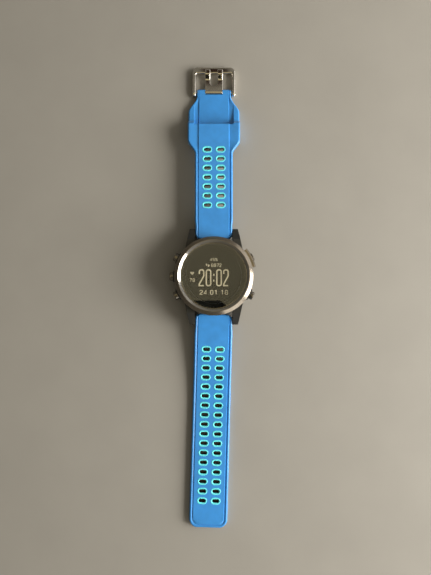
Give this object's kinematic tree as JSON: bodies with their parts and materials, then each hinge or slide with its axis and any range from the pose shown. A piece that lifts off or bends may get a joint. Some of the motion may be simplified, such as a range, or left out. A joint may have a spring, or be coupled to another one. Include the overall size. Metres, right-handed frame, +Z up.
{
  "type": "golf gps watch",
  "caption": "Round wrist watch with a metal bezel, side push buttons and a two-part perforated silicone strap with a pin buckle.",
  "frame": {"origin": "centre of the flat sensor window on the watch's back, on the surface the watch lies on", "axes": "+X towards 3 o'clock, +Y towards 12 o'clock along the strap, +Z up out of the dial"},
  "size_m": [0.0458, 0.2517, 0.0144],
  "materials": {
    "case_polymer": "fine moulded texture",
    "bezel_steel": "satin gunmetal with polished inner edge",
    "button_steel": "turned and polished",
    "buckle_steel": "polished",
    "fastener_steel": "plain",
    "spring_steel": "bright wire",
    "lens_glass": "clear, hard coated",
    "display_glass": "reflective memory display",
    "surround_black": "black printed border",
    "seal_black": "soft",
    "strap_blue": "matt silicone",
    "liner_cyan": "matt silicone",
    "board_green": "solder mask",
    "chip_black": "moulded resin",
    "cell_foil": "foil pouch",
    "inner_metal": "plain",
    "flex_amber": "polyimide film",
    "cover_steel": "satin",
    "sensor_dark": "dark window",
    "led_clear": "clear resin",
    "contact_gold": "gold plated",
    "latch_polymer": "moulded"
  },
  "bodies": {
    "watch_case": {"mid_case": "case_polymer", "bezel": "bezel_steel", "bezel_gasket": "seal_black", "lens": "lens_glass", "lens_gasket": "seal_black", "display_panel": "display_glass", "display_surround": "surround_black", "backlight_plate": "led_clear", "chassis_frame": "inner_metal", "gps_antenna": "contact_gold", "main_board": "board_green", "board_chips": "chip_black", "battery": "cell_foil", "vibration_motor": "inner_metal", "buzzer": "inner_metal", "pressure_sensor": "inner_metal", "button_switches": "inner_metal", "button_seals": "seal_black", "button_flex": "flex_amber", "start_button_guard": "bezel_steel", "back_cover": "cover_steel", "back_gasket": "seal_black", "back_screws": "fastener_steel", "sensor_window": "sensor_dark", "sensor_board": "board_green", "sensor_leds": "led_clear", "charging_block": "chip_black", "charging_contacts": "contact_gold", "lug_pins": "fastener_steel", "lug_screws": "fastener_steel"},
    "light_button_body": {"light_button": "button_steel", "light_button_clip": "spring_steel", "light_button_spring": "spring_steel"},
    "up_button_body": {"up_button": "button_steel", "up_button_clip": "spring_steel", "up_button_spring": "spring_steel"},
    "down_button_body": {"down_button": "button_steel", "down_button_clip": "spring_steel", "down_button_spring": "spring_steel"},
    "start_button_body": {"start_button": "button_steel", "start_button_clip": "spring_steel", "start_button_spring": "spring_steel"},
    "back_button_body": {"back_button": "button_steel", "back_button_clip": "spring_steel", "back_button_spring": "spring_steel"},
    "upper_strap_body": {"upper_strap": "strap_blue", "upper_slot_rims": "liner_cyan", "upper_latch_plate": "cover_steel", "buckle_pin": "fastener_steel"},
    "lower_strap_body": {"lower_strap": "strap_blue", "lower_slot_rims": "liner_cyan", "lower_latch_plate": "cover_steel"},
    "upper_latch_body": {"upper_latch_slider": "latch_polymer", "upper_latch_spring": "spring_steel"},
    "lower_latch_body": {"lower_latch_slider": "latch_polymer", "lower_latch_spring": "spring_steel"},
    "buckle_body": {"buckle_frame": "buckle_steel"},
    "tongue_body": {"buckle_tongue": "buckle_steel"}
  },
  "joints": [
    {"name": "light_button_press", "type": "slide", "parent": "watch_case", "child": "light_button_body", "axis": [0.891, -0.454, 0], "range_m": [0, 0.0006], "stiffness_N_per_m": 600, "springref_m": -0.0008, "deforming": ["light_button_spring"]},
    {"name": "up_button_press", "type": "slide", "parent": "watch_case", "child": "up_button_body", "axis": [1, 0, 0], "range_m": [0, 0.0006], "stiffness_N_per_m": 600, "springref_m": -0.0008, "deforming": ["up_button_spring"]},
    {"name": "down_button_press", "type": "slide", "parent": "watch_case", "child": "down_button_body", "axis": [0.891, 0.454, 0], "range_m": [0, 0.0006], "stiffness_N_per_m": 600, "springref_m": -0.0008, "deforming": ["down_button_spring"]},
    {"name": "start_button_press", "type": "slide", "parent": "watch_case", "child": "start_button_body", "axis": [-0.891, -0.454, 0], "range_m": [0, 0.0006], "stiffness_N_per_m": 600, "springref_m": -0.0008, "deforming": ["start_button_spring"]},
    {"name": "back_button_press", "type": "slide", "parent": "watch_case", "child": "back_button_body", "axis": [-0.891, 0.454, 0], "range_m": [0, 0.0006], "stiffness_N_per_m": 600, "springref_m": -0.0008, "deforming": ["back_button_spring"]},
    {"name": "upper_strap_hinge", "type": "hinge", "parent": "watch_case", "child": "upper_strap_body", "pos_m": [0, 0.0226, 0.0046], "axis": [-1, 0, 0], "range_deg": [-5, 70]},
    {"name": "lower_strap_hinge", "type": "hinge", "parent": "watch_case", "child": "lower_strap_body", "pos_m": [0, -0.0226, 0.0046], "axis": [1, 0, 0], "range_deg": [-5, 70]},
    {"name": "upper_latch_slide", "type": "slide", "parent": "upper_strap_body", "child": "upper_latch_body", "axis": [0, 1, 0], "range_m": [0, 0.0012], "stiffness_N_per_m": 300, "springref_m": -0.0015, "deforming": ["upper_latch_spring"]},
    {"name": "lower_latch_slide", "type": "slide", "parent": "lower_strap_body", "child": "lower_latch_body", "axis": [-0.0279, -0.9996, 0], "range_m": [0, 0.0012], "stiffness_N_per_m": 300, "springref_m": -0.0015, "deforming": ["lower_latch_spring"]},
    {"name": "buckle_hinge", "type": "hinge", "parent": "upper_strap_body", "child": "buckle_body", "pos_m": [0, 0.1033, 0.0015], "axis": [1, 0, 0], "range_deg": [-60, 30]},
    {"name": "tongue_hinge", "type": "hinge", "parent": "buckle_body", "child": "tongue_body", "pos_m": [0, 0.1033, 0.0015], "axis": [1, 0, 0], "range_deg": [0, 70]}
  ]
}
